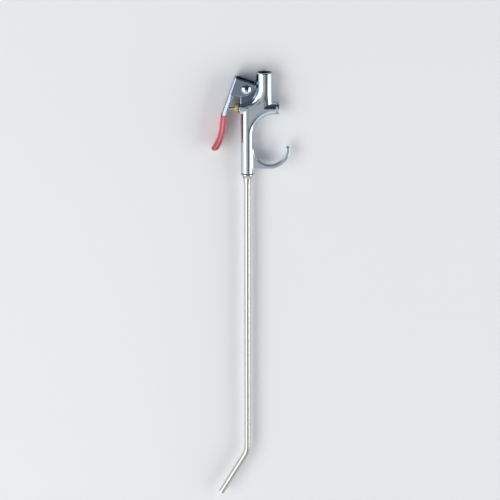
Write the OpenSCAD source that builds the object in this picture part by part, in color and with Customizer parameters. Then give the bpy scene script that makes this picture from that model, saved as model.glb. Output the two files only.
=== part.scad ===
// Lever type air duster: a cast chromed body with an open hanging ring, a pressed
// steel lever with a dipped grip, a push open valve and a long bent nozzle.
// It lies on its side. The origin is the centre of the air inlet's mouth, +Y runs
// out of the inlet, +X towards the hanging ring and +Z up from the bench.

/* [Air inlet] */
// Outside diameter of the inlet
inlet_d = 17; // [15.5:0.1:20]
// Straight length of the inlet, down to its round end
inlet_len = 25.3; // [20:0.1:27]
// Bore left for the quarter inch pipe thread
thread_bore_d = 11.8; // [11:0.05:12.4]
// Depth of the threaded bore
thread_depth = 13; // [10:0.5:16]
// Rounding of the inlet's outer rim
inlet_rim = 1.2; // [0.6:0.1:1.6]
// Bore that feeds the valve from the inlet
supply_d = 5.5; // [4:0.1:6.5]

/* [Casting] */
// Depth of the valve's axis below the inlet's mouth
valve_drop = 36.5; // [34:0.1:40]
// Diameter of the curved neck
neck_d = 12; // [11.4:0.1:12.2]
// Distance from the barrel's side to the end of the neck's bend
neck_past = 0.6; // [0.2:0.1:1.6]
// Diameter of the boss that takes the gland
boss_d = 12.4; // [11.8:0.1:13.2]
// Length of the boss past the end of the neck's bend
boss_past = 0.8; // [0.4:0.1:2.4]
// Diameter of the arm that houses the valve
arm_d = 13.2; // [12.8:0.1:14.5]
// Distance from the inlet's axis to where the arm takes its full size
arm_start = 1; // [-4:0.5:4]
// Length of the arm past the end of the rim over the ring's hole
arm_past = 1.9; // [1.2:0.1:4]
// Half thickness of the flat cast webs
web_half = 5.9; // [4.6:0.1:5.9]
// Diameter of the round rim over the ring's hole
rim_d = 12.4; // [11.8:0.1:12.6]
// Chamfer on the boss and the arm
cast_edge = 0.9; // [0.4:0.1:1.2]

/* [Barrel] */
// Diameter of the barrel
barrel_d = 12.8; // [12.2:0.1:14]
// Distance between the inlet's axis and the barrel's
barrel_off = 17; // [16:0.1:17.6]
// Distance from the inlet's mouth to the barrel's end
barrel_end = 103.2; // [98:0.1:112]
// Air passage along the barrel
passage_d = 5; // [3.5:0.1:5.6]
// Bore for the nozzle's thread
nozzle_bore_d = 8.8; // [8.2:0.05:9.2]
// Depth of the nozzle's threaded bore
nozzle_bore_depth = 11.5; // [10.5:0.1:14]

/* [Hanging ring] */
// Radius of the ring's hole above, under the valve housing
ring_top_r = 21.2; // [19:0.1:22]
// Radius of the ring's hole below
ring_low_r = 16.2; // [15:0.1:17.4]
// Depth of the lower hole's centre below the inlet's mouth
ring_low_drop = 78.4; // [76:0.1:80]
// Radial thickness of the hook
hook_thick = 4; // [3.4:0.1:5]
// Width of the hook across the part
hook_width = 6.4; // [5:0.1:9]
// Rounding of the hook's edges
hook_round = 1; // [0.6:0.1:1.5]
// Angle that the hook's tip rises past level
hook_rise = 5; // [0:1:16]
// Step from the hook's face down to the web's in its corner
hook_step = 0.2; // [0.1:0.05:0.6]

/* [Lever pivot] */
// Distance from the inlet's axis to the pivot
pivot_off = 18.2; // [17.8:0.1:19]
// Depth of the pivot below the inlet's mouth
pivot_drop = 16.3; // [15.6:0.1:17.2]
// Radius of the cast lug round the pivot
lug_r = 5.7; // [5:0.1:6]
// Half thickness of the lug
lug_half = 5.5; // [4.8:0.05:5.6]
// Half thickness of the foot that joins the lug to the neck
foot_half = 3.4; // [2.6:0.1:4.6]
// Diameter of the rivet
rivet_d = 5; // [4:0.1:5.6]
// Diameter of the rivet's domed head
rivet_head_d = 9.4; // [7.6:0.1:10.4]
// Height of the domed head
rivet_head_h = 2.2; // [1.6:0.1:2.6]
// Diameter of the rivet's clinched end
rivet_tail_d = 8; // [7:0.1:9]
// Height of the clinched end
rivet_tail_h = 1.7; // [1.3:0.1:2]

/* [Lever] */
// Sheet thickness of the lever
lever_sheet = 1.2; // [0.8:0.05:1.4]
// Depth of the lever's channel
lever_depth = 4.7; // [4.2:0.1:5.4]
// Outer radius of the lever's folded corners
lever_fold = 2.2; // [1.6:0.1:2.6]
// Distance from the pivot to the lever's back
lever_back = 14.6; // [14.2:0.1:15.4]
// Length of the lever above the pivot
lever_top = 7.9; // [7.4:0.1:8.8]
// Reach of the lever's cheeks past its back
cheek_reach = 23; // [21.5:0.5:24]
// Length of the cheeks down the lever
cheek_len = 17.4; // [16:0.2:19]
// Rounding of the cheeks' upper corner
nose_r = 2.4; // [1:0.1:3]
// Lean of the lever away from the barrel
lever_lean = 19.5; // [17:0.5:21]
// Length of the lever's straight upper run
lever_run = 36; // [33:0.5:39]
// Radius of the lever's upper bend
bend_r = 38; // [30:1:50]
// Turn of the upper bend above the grip
bend_bare_turn = 7; // [4:0.5:8]
// Turn of the upper bend inside the grip
bend_grip_turn = 8.5; // [5:0.5:11]
// Length of the run between the bends
mid_run = 8; // [5:0.5:12]
// Radius of the flared bend
flare_r = 27; // [20:1:36]
// Turn of the flared bend
flare_turn = 22; // [14:1:28]
// Length of the lever's last run
tail_run = 12; // [8:0.5:18]
// Swing of the lever from rest to fully pressed
lever_swing = 8; // [5:0.5:9]

/* [Grip] */
// Thickness of the dipped vinyl
vinyl = 0.7; // [0.5:0.05:0.9]
// Length of vinyl past the lever's end
vinyl_end = 1.6; // [1:0.1:3]

/* [Valve] */
// Diameter of the valve's push rod
rod_d = 2.5; // [2:0.05:3]
// Width of the gland's hexagon across its flats
gland_flats = 9; // [8.6:0.1:10]
// Thickness of the gland's hexagon
gland_hex = 3.7; // [2.8:0.1:4.2]
// Diameter of the gland's thread
gland_thread_d = 8; // [7.4:0.1:8.4]
// Length of the gland's thread
gland_len = 4.2; // [3.8:0.1:4.6]
// Thickness of the washer under the gland
gland_seal = 0.7; // [0.5:0.05:1]
// Cord thickness of the rod's sealing ring
rod_ring_d = 1.2; // [1:0.05:1.3]
// Thickness of the packing washer
packing = 0.8; // [0.5:0.05:0.9]
// Diameter of the valve seat's opening
seat_d = 5; // [4.4:0.1:5.4]
// Distance from the inlet's axis to the valve seat
seat_off = 10.3; // [9.6:0.1:11]
// Diameter of the rubber valve seal
seal_d = 7; // [6.6:0.1:7.2]
// Thickness of the rubber valve seal
seal_thick = 1.4; // [1:0.1:1.8]
// Wall of the valve head's brass cup
cup_wall = 0.4; // [0.3:0.05:0.45]
// Thickness of the valve head's base
cup_base = 1.3; // [1:0.1:1.8]
// Diameter of the chamber that the valve head moves in
chamber_d = 8.6; // [8.4:0.05:9]
// Outside diameter of the return spring
spring_d = 5; // [4.6:0.1:5.2]
// Wire thickness of the return spring
spring_wire = 0.6; // [0.45:0.05:0.7]
// Number of turns of the return spring
spring_turns = 8; // [6:1:10]
// Diameter of the end plug's thread
plug_thread_d = 10; // [9.6:0.1:10.4]
// Length of the end plug's thread
plug_len = 6.4; // [5:0.1:7]
// Diameter of the end plug's head
plug_head_d = 12.8; // [12:0.1:13.6]
// Thickness of the end plug's head
plug_head = 2.2; // [1.8:0.1:3]
// Thickness of the gasket under the plug
plug_seal = 0.6; // [0.4:0.05:0.8]
// Depth of the spring's pocket in the plug
plug_pocket = 3.2; // [2:0.1:4]
// Width of the screwdriver slot
slot_w = 1.4; // [1:0.1:1.8]
// Depth of the screwdriver slot
slot_deep = 1.1; // [0.8:0.1:1.4]

/* [Nozzle] */
// Diameter of the nozzle fitting's collar
collar_d = 12.9; // [12.2:0.1:14]
// Length of the collar
collar_len = 3.4; // [2.6:0.1:5]
// Length of the fitting's cone
cone_len = 6.4; // [5:0.1:9]
// Wall of the cone at its thin end
cone_wall = 0.7; // [0.5:0.05:1]
// Length of the fitting's thread
nozzle_thread = 10; // [8:0.1:10.4]
// Thickness of the ring under the collar
nozzle_seal = 0.7; // [0.5:0.05:1]
// Depth that the tube goes into the fitting
tube_socket = 8.6; // [6:0.1:9.6]
// Outside diameter of the nozzle tube
tube_d = 6.35; // [5.5:0.05:6.8]
// Bore of the nozzle tube
tube_bore_d = 4.35; // [3:0.05:4.6]
// Distance from the inlet's mouth to the tube's corner
corner_drop = 415.6; // [200:1:520]
// Length of the tube past its corner
spout_len = 57; // [40:1:90]
// Angle of the tube's bend
tube_turn = 30; // [15:1:60]
// Radius of the tube's bend, on its centre line
tube_bend_r = 24; // [16:0.5:30]

/* [Hidden] */
$fn = 64;
// Overrun of every cut past the face that it leaves
cut = 1;
// Gap between a moving shaft and its hole, on the radius
run_fit = 0.05;
// Gap between a screwed or pressed piece and its hole, on the radius
seat_fit = 0.04;
// Gap between the lever's cheeks and the lug
cheek_gap = 0.3;
// Gap under the rivet's heads
head_gap = 0.1;
// Gap between the rod's tip and the lever's back at rest
tip_gap = 0.3;
// Gap between the spring and the pieces that it stands between
spring_gap = 0.05;
// Amount that the nozzle tube draws in where it is bent, on the radius
bend_draw = 0.03;
// Length of the straight tube past each end of its bend
bend_lap = 0.5;
// Share of the drill's radius in the depth of its point
drill_share = 0.6;
// Share of the hexagon's thickness that its chamfer takes
hex_chamfer_share = 0.28;
// Share of the hexagon's corner radius left at its end faces
hex_face_share = 0.9;

inlet_r = inlet_d / 2;
bore_r = thread_bore_d / 2;
neck_r = neck_d / 2;
boss_r = boss_d / 2;
arm_r = arm_d / 2;
barrel_r = barrel_d / 2;
rivet_r = rivet_d / 2;
rod_r = rod_d / 2;
tube_r = tube_d / 2;
bolt_r = gland_thread_d / 2;
seal_r = seal_d / 2;
chamber_r = chamber_d / 2;
plug_r = plug_thread_d / 2;
fitting_r = nozzle_bore_d / 2 - seat_fit;

// Radius of the neck's bend on its centre line, which ends past the barrel's side
neck_bend_r = barrel_off + barrel_r + neck_past;

// Centre of the ring's upper hole: its rim runs from the barrel's axis to the valve's
rim_r = ring_top_r + rim_d / 2;
rim_x = rim_r - barrel_off;
arm_reach = rim_x + arm_past;
rim_y = -(valve_drop + rim_r);
// Centre of the ring's lower hole, whose left side is the barrel
low_x = ring_low_r + barrel_r - barrel_off;
hook_mid_r = ring_low_r + hook_thick / 2;
hook_bottom = ring_low_drop + ring_low_r + hook_thick;

// Lever: half width outside its cheeks, and its place on the part
cheek_in = lug_half + cheek_gap;
lever_half = cheek_in + lever_sheet;
bend_turn = bend_bare_turn + bend_grip_turn;
// Distance from the pivot to the lever's inner face, and down to the rod
face_off = lever_back - lever_sheet;
rod_below = valve_drop - pivot_drop;

// Places along the valve's axis, measured from the inlet's axis
boss_reach = neck_bend_r + boss_past;
gland_x0 = -(boss_reach + gland_seal + gland_hex);
gland_x1 = -(boss_reach + gland_seal);
gland_end = gland_x1 + gland_len;
packing_x1 = gland_end + packing;
head_x0 = -seat_off;
cup_x0 = head_x0 + seal_thick;
cup_x1 = cup_x0 + cup_base;
spring_x0 = cup_x1 + spring_gap;
plug_x1 = arm_reach + plug_seal;
plug_x0 = plug_x1 - plug_len;
spring_x1 = plug_x0 + plug_pocket - spring_gap;

// The rod's tip meets the lever's leaning face, with the tip's gap between them
tip_x = -(pivot_off + face_off / cos(lever_lean) + rod_below * tan(lever_lean))
    + (rod_r + tip_gap) / cos(lever_lean);

// Nozzle, measured down from the inlet's mouth
ring_y1 = barrel_end + nozzle_seal;
collar_y1 = ring_y1 + collar_len;
fitting_y1 = collar_y1 + cone_len;
thread_y0 = barrel_end - nozzle_thread;
tube_y0 = fitting_y1 - tube_socket;
corner_cut = tube_bend_r * tan(tube_turn / 2);

// Rod travel that keeps the tip's gap, for a swing of the lever
function lever_face(turn) = face_off / cos(lever_lean - turn) + rod_below * tan(lever_lean - turn);
rod_travel = lever_face(0) - lever_face(lever_swing);
echo(rod_travel = rod_travel, metres_per_radian = rod_travel / lever_swing * 180 / PI / 1000);
echo(spout_wall = spout_len - corner_cut, tip_x = tip_x, lever_half = lever_half);

// A cylinder along the valve's axis, between two distances from the inlet's axis
module across(x0, x1, r) {
    translate([x0, -valve_drop, 0]) rotate([0, 90, 0]) cylinder(h = x1 - x0, r = r);
}

// A cone along the valve's axis
module across_cone(x0, x1, r0, r1) {
    translate([x0, -valve_drop, 0]) rotate([0, 90, 0]) cylinder(h = x1 - x0, r1 = r0, r2 = r1);
}

// A cylinder down the part, between two depths below the inlet's mouth
module down(x, y0, y1, r) {
    translate([x, -y0, 0]) rotate([90, 0, 0]) cylinder(h = y1 - y0, r = r);
}

// A cone down the part
module down_cone(x, y0, y1, r0, r1) {
    translate([x, -y0, 0]) rotate([90, 0, 0]) cylinder(h = y1 - y0, r1 = r0, r2 = r1);
}

// A rectangle with round corners, centred
module soft_rect(w, h, r) {
    square([w - 2 * r, h], center = true);
    square([w, h - 2 * r], center = true);
    for (i = [-1, 1], j = [-1, 1]) translate([i * (w / 2 - r), j * (h / 2 - r)]) circle(r);
}

// Solid form of the inlet, with its rounded rim
module inlet_form() {
    rotate([90, 0, 0]) rotate_extrude() {
        translate([0, inlet_rim]) square([inlet_r, inlet_len - inlet_rim]);
        square([inlet_r - inlet_rim, inlet_rim + cut]);
        translate([inlet_r - inlet_rim, inlet_rim]) circle(inlet_rim);
        intersection() {
            translate([0, inlet_len]) circle(inlet_r);
            translate([0, inlet_len]) square(inlet_r);
        }
    }
}

// The neck curves from the inlet round to the gland's boss
module neck_form() {
    translate([-neck_bend_r, neck_bend_r - valve_drop, 0]) rotate([0, 0, -90])
        rotate_extrude(angle = 90) translate([neck_bend_r, 0]) circle(neck_r);
}

// Boss for the gland, and the arm in line with it that houses the valve
module valve_form() {
    across_cone(-boss_reach, cast_edge - boss_reach, boss_r - cast_edge, boss_r);
    across(cast_edge - boss_reach, arm_start, boss_r);
    across(arm_start, arm_reach - cast_edge, arm_r);
    across_cone(arm_reach - cast_edge, arm_reach, arm_r, arm_r - cast_edge);
}

// Barrel with a round top where it meets the boss
module barrel_form() {
    down(-barrel_off, valve_drop, barrel_end, barrel_r);
    translate([-barrel_off, -valve_drop, 0]) rotate([90, 0, 0]) sphere(barrel_r);
}

// Round rim over the ring's hole, from the barrel up to the arm
module rim_form() {
    translate([rim_x, rim_y, 0]) rotate([0, 0, 90]) rotate_extrude(angle = 90)
        translate([rim_r, 0]) circle(rim_d / 2);
}

// Corners of the hook's tip on one side, in the order given: [radius, height]
tip_r = hook_thick / 2 - bend_draw;
tip_h = hook_width / 2 - bend_draw;
function tip_edge(side, angles) = [for (a = angles)
    [tip_r - hook_round * (1 - cos(a)), side * (tip_h - hook_round * (1 - sin(a)))]];

// Hook under the ring's hole, with a round tip
module hook_form() {
    translate([low_x, -ring_low_drop, 0]) {
        rotate([0, 0, 180]) rotate_extrude(angle = 180 + hook_rise) translate([hook_mid_r, 0])
            soft_rect(hook_thick, hook_width, hook_round);
        rotate([0, 0, hook_rise]) translate([hook_mid_r, 0, 0]) rotate([0, 0, -90])
            rotate_extrude() polygon(concat([[0, -tip_h], [0, tip_h]],
                tip_edge(1, [90, 45, 0]), tip_edge(-1, [0, 45, 90])));
    }
}

// Flat web in the crook of the neck, over the rim, and in the hook's corner
module web_form() {
    linear_extrude(2 * web_half, center = true) {
        difference() {
            translate([-neck_bend_r, -valve_drop]) square([neck_bend_r, neck_bend_r]);
            translate([-neck_bend_r, neck_bend_r - valve_drop]) circle(neck_bend_r);
        }
        difference() {
            translate([-barrel_off, rim_y]) square(rim_r);
            translate([rim_x, rim_y]) circle(rim_r);
        }
    }
    linear_extrude(hook_width - 2 * hook_step, center = true) difference() {
        translate([-barrel_off, -hook_bottom])
            square([barrel_off + low_x, hook_bottom - ring_low_drop]);
        translate([low_x, -ring_low_drop]) circle(hook_mid_r);
    }
}

// Lug for the lever's rivet, on a thinner foot that grows out of the neck and the boss
module lug_form() {
    translate([-pivot_off, -pivot_drop, 0]) cylinder(h = 2 * lug_half, r = lug_r, center = true);
    linear_extrude(2 * foot_half, center = true)
        intersection() {
            translate([-pivot_off - lug_r, -valve_drop])
                square([pivot_off + lug_r, valve_drop - pivot_drop]);
            translate([-neck_bend_r, neck_bend_r - valve_drop]) circle(neck_bend_r);
        }
}

// Everything drilled in the casting: inlet, supply, valve chamber, gland and barrel
module casting_bores() {
    down(0, -cut, thread_depth, bore_r);
    down_cone(0, thread_depth, thread_depth + bore_r * drill_share, bore_r, 0);
    down(0, thread_depth, valve_drop, supply_d / 2);
    across(-(boss_reach + cut), packing_x1, bolt_r);
    across(packing_x1 - cut, head_x0 + cut, seat_d / 2);
    across(head_x0, arm_reach + cut, chamber_r);
    across(plug_x0 - cut, arm_reach + cut, plug_r);
    down(-barrel_off, valve_drop, barrel_end, passage_d / 2);
    down(-barrel_off, barrel_end - nozzle_bore_depth, barrel_end + cut, nozzle_bore_d / 2);
}

module body_casting() {
    color("gainsboro") difference() {
        union() {
            inlet_form();
            neck_form();
            valve_form();
            barrel_form();
            rim_form();
            hook_form();
            web_form();
            lug_form();
        }
        casting_bores();
        translate([-pivot_off, -pivot_drop, 0])
            cylinder(h = 2 * (lug_half + cut), r = rivet_r + seat_fit, center = true);
    }
}

// Puts what follows in the lever's own frame: its back on the Y axis, its top at
// the origin, running down, with the pivot to the right
module on_lever() {
    translate([-pivot_off, -pivot_drop, 0]) rotate([0, 0, -lever_lean])
        translate([-lever_back, lever_top, 0]) children();
}

// Lengths down the lever's back at which its runs and bends end
bend_y0 = lever_run;
grip_y0 = bend_y0 + bend_r * bend_bare_turn * PI / 180;
bend_y1 = grip_y0 + bend_r * bend_grip_turn * PI / 180;
flare_y0 = bend_y1 + mid_run;
flare_y1 = flare_y0 + flare_r * flare_turn * PI / 180;
lever_y1 = flare_y1 + tail_run;
end_turn = bend_turn - flare_turn;

// Place and heading of the lever's back, a length down it: [x, y, turn]
bend_end = [bend_r * (1 - cos(bend_turn)), -lever_run - bend_r * sin(bend_turn)];
mid_end = bend_end + mid_run * [sin(bend_turn), -cos(bend_turn)];
flare_hub = mid_end - flare_r * [cos(bend_turn), sin(bend_turn)];
flare_end = flare_hub + flare_r * [cos(end_turn), sin(end_turn)];
function heading(s) = s < bend_y0 ? 0
    : s < bend_y1 ? (s - bend_y0) / bend_r * 180 / PI
    : s < flare_y0 ? bend_turn
    : s < flare_y1 ? bend_turn - (s - flare_y0) / flare_r * 180 / PI
    : end_turn;
function back_at(s) = let (a = heading(s))
    s < bend_y0 ? [0, -s]
    : s < bend_y1 ? [bend_r * (1 - cos(a)), -lever_run - bend_r * sin(a)]
    : s < flare_y0 ? bend_end + (s - bend_y1) * [sin(a), -cos(a)]
    : s < flare_y1 ? flare_hub + flare_r * [cos(a), sin(a)]
    : flare_end + (s - flare_y1) * [sin(a), -cos(a)];

// Loop of points round the channel's section: [depth, width]. Depth runs from the
// back to the open side. Growing it by a coat's thickness gives the coat's outside
fold_steps = 5;
// Least radius of the coat inside a folded corner
crease = 0.1;
function fold_arc(x, z, r, a0, a1) =
    [for (i = [0 : fold_steps]) let (a = a0 + (a1 - a0) * i / fold_steps) [x + r * cos(a), z + r * sin(a)]];
function section(depth, grow) =
    let (out = lever_half + grow, in = lever_half - lever_sheet - grow, far = depth + grow,
        r = lever_fold + grow, q = max(lever_fold - lever_sheet - grow, crease), back = lever_sheet + grow)
    concat([[far, -out]], fold_arc(r - grow, r - out, r, 270, 180), fold_arc(r - grow, out - r, r, 180, 90),
        [[far, out], [far, in]], fold_arc(back + q, in - q, q, 90, 180),
        fold_arc(back + q, q - in, q, 180, 270), [[far, -in]]);

// Puts a section across the lever's back, a length down it
function across_back(s, loop) = let (p = back_at(s), a = heading(s))
    [for (c = loop) [p[0] + c[0] * cos(a), p[1] + c[0] * sin(a), c[1]]];

// Faces between one loop of points and the next, and over a loop's end
function skin(n, a, b) = [for (i = [0 : n - 1]) let (j = (i + 1) % n)
    each [[a + i, a + j, b + j], [a + i, b + j, b + i]]];
function cap(n, a, up) = [for (i = [0 : n / 2 - 2])
    let (p = a + i, q = a + n - 1 - i) each up ? [[p, p + 1, q], [p + 1, q - 1, q]]
        : [[q, p + 1, p], [q, q - 1, p + 1]]];

// Depth of the lever's sides: cheeks round the pivot, then the plain channel. The
// cheek's edge is a quarter of a rounded square under a round nose
// Power of the curve of the cheek's edge
cheek_power = 2.3;
nose_steps = 4;
edge_steps = 12;
// First step of the edge below the nose
edge_first = 2;
cheek_edge = concat(
    [for (i = [0 : nose_steps]) let (a = 90 * i / nose_steps)
        [nose_r * (1 - cos(a)), cheek_reach - nose_r + nose_r * sin(a)]],
    [for (i = [edge_first : edge_steps]) let (a = 90 * i / edge_steps)
        [cheek_len * pow(sin(a), 2 / cheek_power),
         lever_depth + (cheek_reach - lever_depth) * pow(cos(a), 2 / cheek_power)]]);

// Lengths at which the lever below its cheeks has a section
bend_steps = 4;
function steps(s0, s1, n) = [for (i = [0 : n]) s0 + (s1 - s0) * i / n];
lower_steps = concat(steps(grip_y0, bend_y1, bend_steps), steps(flare_y0, flare_y1, 2 * bend_steps));
lever_steps = concat(cheek_edge, [for (s = concat(steps(bend_y0, grip_y0, bend_steps - 1),
    [for (i = [1 : len(lower_steps) - 1]) lower_steps[i]], [lever_y1])) [s, lever_depth]]);

module lever() {
    loops = [for (s = lever_steps) across_back(s[0], section(s[1], 0))];
    n = len(loops[0]);
    last = len(loops) - 1;
    color("silver") on_lever() difference() {
        polyhedron([for (loop = loops, p = loop) p],
            concat(cap(n, 0, false), [for (k = [0 : last - 1]) each skin(n, k * n, (k + 1) * n)],
                cap(n, last * n, true)), convexity = 6);
        translate([lever_back, -lever_top, 0])
            cylinder(h = 2 * (lever_half + cut), r = rivet_r + run_fit, center = true);
    }
}

// The vinyl: an outer skin and an inner skin that is the lever's own surface,
// joined by a ring at the top and closed by a cap at each skin's lower end
module lever_grip() {
    outer = [for (s = concat(lower_steps, [lever_y1 + vinyl_end]))
        across_back(s, section(lever_depth, vinyl))];
    inner = [for (s = concat(lower_steps, [lever_y1])) across_back(s, section(lever_depth, 0))];
    n = len(outer[0]);
    last = len(lower_steps);
    into = n * len(outer);
    color("firebrick") on_lever() polyhedron([for (loop = concat(outer, inner), p = loop) p],
        concat([for (k = [0 : last - 1]) each skin(n, k * n, (k + 1) * n)], cap(n, last * n, true),
            skin(n, into, 0), cap(n, into + last * n, false),
            [for (k = [0 : last - 1]) each skin(n, into + (k + 1) * n, into + k * n)]), convexity = 8);
}

// A shallow dome on the XY plane, cut from a sphere
module dome(d, h) {
    ball = (d * d / 4 + h * h) / (2 * h);
    intersection() {
        translate([0, 0, h - ball]) sphere(ball);
        translate([-d, -d, 0]) cube([2 * d, 2 * d, h + cut]);
    }
}

module pivot_rivet() {
    head_z = lever_half + head_gap;
    color("whitesmoke") translate([-pivot_off, -pivot_drop, 0]) {
        cylinder(h = 2 * head_z, r = rivet_r, center = true);
        translate([0, 0, head_z]) dome(rivet_head_d, rivet_head_h);
        mirror([0, 0, 1]) translate([0, 0, head_z]) dome(rivet_tail_d, rivet_tail_h);
    }
}

module gland_nut() {
    corner_r = gland_flats / 2 / cos(30);
    edge = gland_hex * hex_chamfer_share;
    ring_room = rod_r + rod_ring_d + seat_fit;
    color("goldenrod") difference() {
        union() {
            intersection() {
                translate([gland_x0, -valve_drop, 0]) rotate([0, 90, 0]) rotate([0, 0, 30])
                    cylinder(h = gland_hex, r = corner_r, $fn = 6);
                union() {
                    across_cone(gland_x0, gland_x0 + edge, corner_r * hex_face_share - edge, corner_r);
                    across(gland_x0 + edge, gland_x1, corner_r);
                }
            }
            across(gland_x1 - edge, gland_end, bolt_r - seat_fit);
        }
        across(gland_x0 - cut, gland_end + cut, rod_r + run_fit);
        across(gland_end - rod_ring_d, gland_end + cut, ring_room);
    }
}

module gland_washer() {
    color("sienna") difference() {
        across(gland_x1, -boss_reach, boss_r - cast_edge);
        across(gland_x1 - cut, cut - boss_reach, bolt_r);
    }
}

// Round sealing ring on the rod, in the gland's pocket
module rod_ring() {
    color("dimgray") translate([gland_end - rod_ring_d / 2, -valve_drop, 0]) rotate([0, 90, 0])
        rotate_extrude() translate([rod_r + run_fit + rod_ring_d / 2, 0]) circle(rod_ring_d / 2 - seat_fit);
}

module packing_washer() {
    color("darkgoldenrod") difference() {
        across(gland_end, packing_x1, bolt_r - seat_fit);
        across(gland_end - cut, packing_x1 + cut, rod_r + run_fit);
    }
}

module push_rod() {
    color("burlywood") {
        across(tip_x, cup_x1 + cup_base, rod_r);
        translate([tip_x, -valve_drop, 0]) sphere(rod_r);
    }
}

// Brass cup on the rod that holds the rubber seal
module valve_head() {
    color("peru") difference() {
        across(cup_x0 - seal_thick / 2, cup_x1, seal_r + cup_wall);
        across(cup_x0 - seal_thick, cup_x0, seal_r);
        across(cup_x0 - seal_thick, cup_x1 + cut, rod_r + seat_fit);
    }
}

module valve_seal() {
    color("black") difference() {
        across(head_x0, cup_x0, seal_r - seat_fit);
        across(head_x0 - cut, cup_x0 + cut, rod_r + seat_fit);
    }
}

// Return spring: one wire swept along a helix whose ends lie flat
wire_r = spring_wire / 2;
coil_r = spring_d / 2 - wire_r;
coil_steps = 8;
wire_sides = 6;
coil_rings = spring_turns * coil_steps;
// Share of the turns at each end that lie flat
flat_share = 0.1;
function coil_rise(t) = t < flat_share ? 0 : t > 1 - flat_share ? 1 : (t - flat_share) / (1 - 2 * flat_share);
end_turn_rise = spring_wire * spring_turns * flat_share;
free_rise = spring_x1 - spring_x0 - spring_wire;
function coil_x(t) = spring_x0 + wire_r
    + end_turn_rise * (min(t, flat_share) + max(t - 1 + flat_share, 0)) / flat_share
    + (free_rise - 2 * end_turn_rise) * coil_rise(t);
function coil_point(i, j) =
    let (t = i / coil_rings, turn = 360 * spring_turns * t, a = 360 * j / wire_sides,
        r = coil_r + wire_r * cos(a))
    [coil_x(t) + wire_r * sin(a), r * cos(turn) - valve_drop, r * sin(turn)];

module valve_spring() {
    points = [for (i = [0 : coil_rings], j = [0 : wire_sides - 1]) coil_point(i, j)];
    last = coil_rings * wire_sides;
    sides = [for (i = [0 : coil_rings - 1], j = [0 : wire_sides - 1], half = [0, 1])
        let (k = (j + 1) % wire_sides, a = i * wire_sides, b = a + wire_sides)
        half == 0 ? [a + j, b + j, b + k] : [a + j, b + k, a + k]];
    ends = [for (j = [1 : wire_sides - 2], side = [0, 1])
        side == 0 ? [0, j, j + 1] : [last, last + j + 1, last + j]];
    color("lightsteelblue") polyhedron(points, concat(sides, ends), convexity = spring_turns);
}

module end_plug() {
    color("lightgray") difference() {
        union() {
            across(plug_x0, plug_x1, plug_r - seat_fit);
            across(plug_x1, plug_x1 + plug_head - cast_edge, plug_head_d / 2);
            across_cone(plug_x1 + plug_head - cast_edge, plug_x1 + plug_head,
                plug_head_d / 2, plug_head_d / 2 - cast_edge);
        }
        across(plug_x0 - cut, plug_x0 + plug_pocket, spring_d / 2 + run_fit);
        translate([plug_x1 + plug_head - slot_deep, -valve_drop - plug_head_d, -slot_w / 2])
            cube([slot_deep + cut, 2 * plug_head_d, slot_w]);
    }
}

module plug_gasket() {
    color("saddlebrown") difference() {
        across(arm_reach, plug_x1, arm_r - cast_edge);
        across(arm_reach - cut, plug_x1 + cut, plug_r);
    }
}

module nozzle_fitting() {
    color("lavender") difference() {
        union() {
            down(-barrel_off, thread_y0, ring_y1, fitting_r);
            translate([-barrel_off, -ring_y1, 0]) rotate([90, 0, 0]) rotate_extrude()
                intersection() {
                    translate([0, collar_len / 2]) soft_rect(collar_d, collar_len, cast_edge);
                    square([collar_d, collar_len]);
                }
            down_cone(-barrel_off, collar_y1, fitting_y1, collar_d / 2 - cast_edge, tube_r + cone_wall);
        }
        down(-barrel_off, thread_y0 - cut, tube_y0 + cut, tube_bore_d / 2);
        down(-barrel_off, tube_y0, fitting_y1 + cut, tube_r + seat_fit);
    }
}

module nozzle_ring() {
    color("darkslategray") difference() {
        down(-barrel_off, barrel_end, ring_y1, barrel_r - cast_edge / 2);
        down(-barrel_off, barrel_end - cut, ring_y1 + cut, nozzle_bore_d / 2);
    }
}

// The tube's run as a solid of one radius, its ends run on by a length
module tube_run(r, over) {
    bend_y = corner_drop - corner_cut;
    down(-barrel_off, tube_y0 - over, bend_y + bend_lap, r);
    translate([-barrel_off - tube_bend_r, -bend_y, 0]) rotate([0, 0, -tube_turn]) {
        rotate_extrude(angle = tube_turn) translate([tube_bend_r, 0]) circle(r - bend_draw);
        translate([tube_bend_r, bend_lap, 0]) rotate([90, 0, 0])
            cylinder(h = spout_len - corner_cut + bend_lap + over, r = r);
    }
}

module nozzle_tube() {
    color("darkgray") difference() {
        tube_run(tube_r, 0);
        tube_run(tube_bore_d / 2, cut);
    }
}

body_casting();
lever();
lever_grip();
pivot_rivet();
gland_nut();
gland_washer();
rod_ring();
packing_washer();
push_rod();
valve_head();
valve_seal();
valve_spring();
end_plug();
plug_gasket();
nozzle_fitting();
nozzle_ring();
nozzle_tube();
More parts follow.
